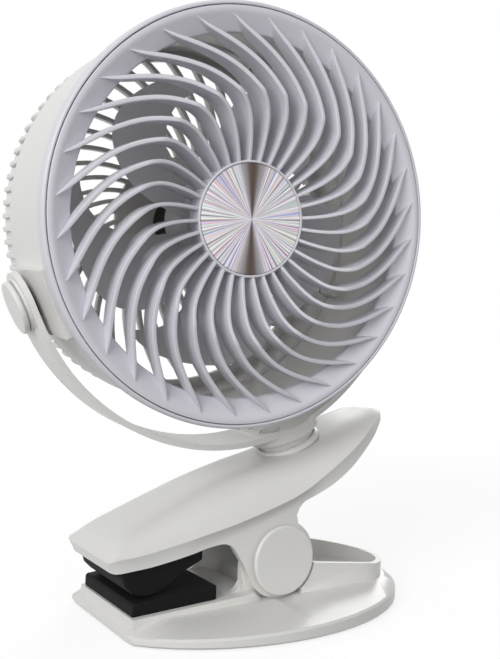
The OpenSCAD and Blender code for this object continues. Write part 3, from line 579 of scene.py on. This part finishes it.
# the seat: its top is the lower of the sloping line and the arc z = hinge - sqrt(arc^2 - (x - hinge)^2), its
# half width falls with the square of the way past the knee, and its upper edges are quarter circles
def seatGrid(sizes):
    x = np.concatenate([np.linspace(sizes["front"], sizes["kneeFrom"], 24),
                        np.linspace(sizes["kneeTo"], sizes["end"], 30)])[:, None]
    hingeX, hingeZ = pose["hinge"][0], pose["hinge"][2]
    (startX, startZ), (stopX, stopZ) = sizes["line"]
    slope = startZ + (x - startX) * (stopZ - startZ) / (stopX - startX)
    arc = hingeZ - np.sqrt(np.clip(sizes["arc"] ** 2 - (x - hingeX) ** 2, 0, None))
    top = np.where(x > hingeX - sizes["arc"], np.minimum(slope, arc), slope)
    a = np.linspace(0, np.pi / 2, 7)[None, :]
    past = np.clip((x - sizes["kneeTo"]) / sizes["narrowingLength"], 0, 1)
    half = sizes["halfWidth"] - sizes["narrowing"] * past ** 2
    sideY = np.concatenate([half, half - sizes["round"] * (1 - np.cos(a))], axis=1)
    sideZ = np.concatenate([sizes["low"] + 0 * x, top - sizes["round"] * (1 - np.sin(a))], axis=1)
    y = np.concatenate([sideY, -sideY[:, ::-1]], axis=1)
    return np.stack([x + 0 * y, y, np.concatenate([sideZ, sideZ[:, ::-1]], axis=1)], axis=-1)


# a hollow corner between a post and the seat: a quarter circle in the xz plane, given a width along y
def postFootGrid(sizes, side):
    a, r = np.radians(np.linspace(0, 90, 13)), sizes["postRadius"]
    face, foot = sizes["postFace"], sizes["postFoot"]
    hollow = np.stack([face - r + r * np.cos(a), foot + r - r * np.sin(a)], axis=-1)
    under = [(face - r, foot - sizes["sunk"]), (face, foot - sizes["sunk"])]
    return plateGrid(np.concatenate([hollow, under]), side * np.array(sizes["post"]))


makePiece("padSeat", [(seatGrid(seatSizes), False, True)]
          + [(postFootGrid(seatSizes, side), False, True) for side in (-1, 1)],
          baseFrame, "base", whiteAbs)
roundedCopy("upperPad", "upper_pad", "lever", blackRubber, 1.0)
roundedCopy("lowerPad", "lower_pad", "base", blackRubber, 1.0)
print("shells done")

# lever: an arched shell with two cheek plates; its curves are stops of (place along the lever, value)
leverSizes = dict(
    wall=2.4, drawIn=1.2, round=1.3, sharp=23, cheekInner=24, cheekOuter=27.7, discRadius=19,
    halfWidth=[(-77.6, 21.5), (-77.45, 23), (-77.2, 24.2), (-76.8, 25.2), (-76.2, 26), (-75.4, 26.7),
               (-74.4, 27.2), (-73.2, 27.6), (-71.8, 27.9), (-68, 28.3), (-60, 28.9), (-30, 30.6), (0, 31.8),
               (30, 31.8), (50, 30.4), (68, 27), (83, 21), (94, 13), (99.6, 5), (101, 0.6)],
    ridge=[(-77.6, 42.7), (-77.2, 43.3), (-76.4, 43.8), (-74, 45.1), (-72, 46.2), (-69, 47.3), (-64, 48),
           (-56, 48), (-50, 47.8), (-40, 47.4), (-30, 46.9), (-20, 46.3), (-12, 45.5), (4, 43.4), (10, 42.5),
           (17, 41.2), (24, 39.9), (32, 38.9), (40, 38.3), (57, 37.6), (70, 36.6), (85, 35), (95, 33.8),
           (101, 32)],
    edge=[(-77.6, 42.3), (-77.2, 42.8), (-76.4, 43.1), (-73.5, 42.9), (-69, 41.4), (-63, 39.6), (-50.5, 36.6),
          (-34, 33.1), (-17.5, 29.9), (-3, 27.8), (8, 26.5), (18.5, 25.6), (27, 25.8), (37, 26.8), (51, 28.3),
          (60.5, 29.4), (67, 30.4), (76.5, 31.8), (90, 32.6), (101, 31.6)],
    under=[(-77.6, 37.3), (-76, 36.8), (-71, 35.4), (-62.5, 32.6), (-48.6, 29.1), (-36.5, 26.3),
           (-22.8, 23.9), (0, 21.2), (26, 18.9), (40, 19.6), (54, 21), (66, 23.6), (84, 27.4), (100, 31),
           (101, 31.3)],
    fullness=[(-77.6, 5), (20, 5), (40, 4.5), (80, 3.5), (101, 3)],
    # how much the walls lean in to meet the cheeks, and how hollow the shell is
    lean=[(-50, 0), (-30, 1), (22, 1), (42, 0)],
    hollow=[(-74, 0), (-68, 1), (86, 1), (92, 0)])


# the shell: across each station, height = edge + (ridge - edge) (1 - |y / w|^p); from its edges the walls
# draw in to y = w less the lean at the bottom, and a roof one wall thick stands over the hollow underside
def leverGrid(sizes):
    nose = [-77.6, -77.45, -77.2, -76.8, -76.2, -75.4, -74.4, -73.2, -71.8, -70.2]
    s = np.concatenate([nose, np.linspace(-68.5, 90, 60), np.linspace(91.5, 101, 8)])[:, None]
    w, ridge, edge, under = (smoothThrough(sizes[key], s) for key in ("halfWidth", "ridge", "edge", "under"))
    p, lean, hollow = (straightThrough(sizes[key], s) for key in ("fullness", "lean", "hollow"))
    across = np.sin(np.linspace(-1, 1, 45) * np.pi / 2)[None, :]
    topY, topH = w * across, edge + (ridge - edge) * (1 - np.abs(across) ** p)
    narrow = w - sizes["drawIn"]
    bottomY = narrow - np.clip(narrow - sizes["cheekOuter"], 0, 9) * lean ** 2 * (3 - 2 * lean)
    down = np.linspace(1, 0, 8)[None, :-1]
    wallY, wallH = bottomY + (w - bottomY) * (1 - down) ** 2, edge + (under - edge) * down
    wall = sizes["wall"] * np.minimum(1, w / 8)
    inside = np.linspace(1, -1, 25)[None, :]
    innerY = (bottomY - wall) * np.sign(inside) * np.abs(inside) ** 0.7
    roof = np.maximum(edge + (ridge - edge) * (1 - np.abs(innerY / w) ** p) - wall, under)
    innerH = under + (roof - under) * hollow * (1 - np.abs(inside) ** 12)
    y = np.concatenate([-wallY, topY, wallY[:, ::-1], innerY], axis=1)
    h = np.concatenate([wallH, topH, wallH[:, ::-1], innerH], axis=1)
    return np.stack([s + 0 * y, y, h], axis=-1)


# a cheek plate: round the hinge a circle, joined to the lever by a soft step behind and a sweep in front
def cheekGrid(sizes, side):
    a = np.radians(np.linspace(35, -180, 44))
    disc = sizes["discRadius"] * np.stack([np.cos(a), np.sin(a)], axis=-1)
    step = softBends([(28, 30), (28, 18.9), (21.6, 18.9), (16.2, 15.6)], [0, 1, 5, 1], 6)
    sweep = softBends([(-19.6, 11), (-21.8, 22.4), (-40, 27.3)], 7, 8)
    outline = np.concatenate([step, [(16.4, 15)], disc, [(-19.3, 8)], sweep, [(-40, 27.3), (-40, 30)]])
    return plateGrid(outline, side * np.array([sizes["cheekInner"], sizes["cheekOuter"]]))


lever = makePiece("leverShell", [(leverGrid(leverSizes), False, True)]
                  + [(cheekGrid(leverSizes, side), False, True) for side in (-1, 1)],
                  leverFrame, "lever", whiteAbs, ("lever_shell",), sharp=leverSizes["sharp"])
breakEdges(lever, leverSizes["round"], leverSizes["sharp"])
print("lever done")

# round covers over the hinge and the tilt pins, and the saucer under the neck
hingeCover = dict(radius=16.75, low=28.7, high=31.5)
yokeCover = dict(radius=12.4, low=101.6, high=104.8)
saucerSizes = dict(radius=17.4, inner=15, low=38, high=41)


# a cover: a flat disc with a rounded edge, standing on a narrower step that leaves a shadow round its foot
def coverDisc(name, matrix, body, node, radius, low, high):
    profile = softCorners([(pole, low), (radius - 1.7, low), (radius - 1.7, low + 0.8), (radius, low + 0.9),
                           (radius, high), (radius - 2.2, high), (radius - 3, high), (pole, high)],
                          [0, 0.1, 0.1, 0.3, 1.1, 0.8, 0.6, 0], 5)
    makePiece(name, [(latheGrid(profile), True, True)], matrix, body, whiteAbs, (node,))


# the saucer: a low ring that is broadest at its foot
def saucerProfile(radius, inner, low, high):
    return softCorners([(inner, low), (radius, low), (radius - 0.4, high - 0.7), (radius - 1.6, high),
                        (inner, high)], [0.1, 0.8, 1.0, 0.5, 0.3], 5)


for side, word in ((-1, "left"), (1, "right")):
    coverDisc("hingeCover-" + word, leverFrame @ turn(0, -90 * side), "lever", "hinge_cap_" + word,
              **hingeCover)
    coverDisc("yokeCover-" + word, pivotFrame @ turn(1, 90 * side), "yoke", "yoke_cap_" + word, **yokeCover)
makePiece("neckSaucer", [(latheGrid(saucerProfile(**saucerSizes)), True, True)],
          leverFrame @ shift(pose["neck"][0], 0, 0), "lever", whiteAbs, ("neck_collar",))
print("covers done")

# finishes of the parts that keep their own shape
paint(plainAbs, "base_cover", "jaw_cover", "tail_cover")
paint(blackRubber, "base_feet", "switch_dome")
paint(blackNylon, "motor_housing", "tilt_disc_left", "tilt_disc_right", "swivel_washer")
paint(springSteel, "base_screws", "hinge_pin", "clip_spring", "lever_screws", "tilt_pin_left",
      "tilt_pin_right", "swivel_plate", "swivel_screw", "grille_screws", "motor_bearings", "motor_screws",
      "motor_shaft", "charge_port")
paint(cellWrap, "battery_cells")
paint(boardGreen, "charge_board", "button_board")
paint(labelFoil, "label_plate")
paint(whiteAbs, "power_button")
paint(smokePp, "impeller_cap")
paint(lightGuide, "indicator_lights")
print("finishes done")

# floor, backdrop, lights and camera, in metres
stageValues = dict(floorHalf=6, world=0.41, floorGlow=0.76, farGlow=0.9, fadeFrom=0.5, fadeTo=1.8,
                   floorShade=0.34)
lampValues = dict(
    keyLamp=dict(place=(-1.6, -0.95, 0.8), target=(0, 0, 0.12), size=1.3, power=23),
    frontLamp=dict(place=(-0.7, -1.85, 0.35), target=(0, 0, 0.15), size=0.9, power=4),
    backLamp=dict(place=(1.3, 1.3, 0.9), target=(0, 0, 0.15), size=1.0, power=9))
# azimuth, elevation and roll in degrees; focal length in pixels of a frame that is 659 pixels tall
viewValues = dict(azimuth=-32.214, elevation=0.4834, roll=1.954, distance=0.4518,
                  target=(-0.00165, -0.00003, 0.13768), focal=893.56, tall=659)


# 1 where the camera sees a surface straight, in a reflection or through something clear, else 0
def seenPlainly(tree):
    path = addNode(tree, "LightPath")
    seen = path.outputs["Is Camera Ray"]
    for ray in ("Is Glossy Ray", "Is Transmission Ray"):
        seen = addNode(tree, "Math", links={0: seen, 1: path.outputs[ray]}, operation="MAXIMUM").outputs[0]
    return seen


# studio floor: it glows white where it is seen, and its diffuse part takes the object's shade; far from the
# object the lamps fade, so the glow rises there and the floor meets the backdrop unseen
def floorMaterial(values):
    material = bpy.data.materials.new("PaleStudioFloor")
    material.use_nodes = True
    tree = material.node_tree
    tree.nodes.clear()
    seen = seenPlainly(tree)
    diffuse = addNode(tree, "BsdfDiffuse", {"Color": (values["floorShade"],) * 3 + (1,)})
    place = addNode(tree, "TexCoord").outputs["Object"]
    away = addNode(tree, "VectorMath", links={0: place}, operation="LENGTH")
    rise = addNode(tree, "MapRange", {1: values["fadeFrom"], 2: values["fadeTo"], 3: values["floorGlow"],
                                      4: values["farGlow"]},
                   {0: away.outputs["Value"]}, interpolation_type="SMOOTHSTEP")
    strength = addNode(tree, "Math", links={0: seen, 1: rise.outputs[0]}, operation="MULTIPLY")
    glow = addNode(tree, "Emission", {"Color": (1, 1, 1, 1)}, {"Strength": strength.outputs[0]})
    both = addNode(tree, "AddShader", links={0: diffuse.outputs[0], 1: glow.outputs[0]})
    addNode(tree, "OutputMaterial", links={"Surface": both.outputs[0]})
    return material


# a flat square on z = 0
def makeFloor(values):
    half = values["floorHalf"]
    mesh = bpy.data.meshes.new("studioFloor")
    corners = [(-half, -half, 0), (half, -half, 0), (half, half, 0), (-half, half, 0)]
    mesh.from_pydata(corners, [], [(0, 1, 2, 3)])
    mesh.materials.append(floorMaterial(values))
    addObject("studioFloor", mesh)


# backdrop: pure white where it is seen, dimmer as a light
def makeBackdrop(values):
    world = bpy.data.worlds.new("studio")
    bpy.context.scene.world = world
    world.use_nodes = True
    tree = world.node_tree
    tree.nodes.clear()
    level = addNode(tree, "Mix", {2: values["world"], 3: 1.0}, {0: seenPlainly(tree)}, data_type="FLOAT")
    sky = addNode(tree, "Background", {"Color": (1, 1, 1, 1)}, {"Strength": level.outputs[0]})
    addNode(tree, "OutputWorld", links={"Surface": sky.outputs[0]})


# stands a lamp or the camera at its place: its z axis is the way back from what it looks at, its x axis is
# level and square to that, its y axis is square to both, and x and y are then rolled about z
def aim(thing, place, back, roll=0.0):
    back = back / np.linalg.norm(back)
    right = np.cross((0, 0, 1), back)
    right /= np.linalg.norm(right)
    up = np.cross(back, right)
    matrix = np.eye(4)
    matrix[:3, 0] = right * np.cos(roll) + up * np.sin(roll)
    matrix[:3, 1] = up * np.cos(roll) - right * np.sin(roll)
    matrix[:3, 2], matrix[:3, 3] = back, place
    thing.matrix_world = Matrix(matrix.tolist())


# a round area lamp
def softLamp(name, place, target, size, power):
    data = bpy.data.lights.new(name, "AREA")
    data.shape, data.size, data.energy = "DISK", size, power
    aim(addObject(name, data), place, np.array(place) - np.array(target))


# the camera: back = (sin az cos el, -cos az cos el, sin el)
def makeCamera(values):
    az, el, roll = (np.radians(values[key]) for key in ("azimuth", "elevation", "roll"))
    back = np.array([np.sin(az) * np.cos(el), -np.cos(az) * np.cos(el), np.sin(el)])
    data = bpy.data.cameras.new("camera")
    data.sensor_width = 36
    data.lens = values["focal"] / values["tall"] * data.sensor_width
    data.clip_start, data.clip_end = 0.01, 20
    camera = addObject("camera", data)
    aim(camera, np.array(values["target"]) + back * values["distance"], back, roll)
    bpy.context.scene.camera = camera


makeFloor(stageValues)
makeBackdrop(stageValues)
for name, values in lampValues.items():
    softLamp(name, **values)
makeCamera(viewValues)
bpy.context.scene.view_settings.view_transform = "Standard"

print("scene ready")
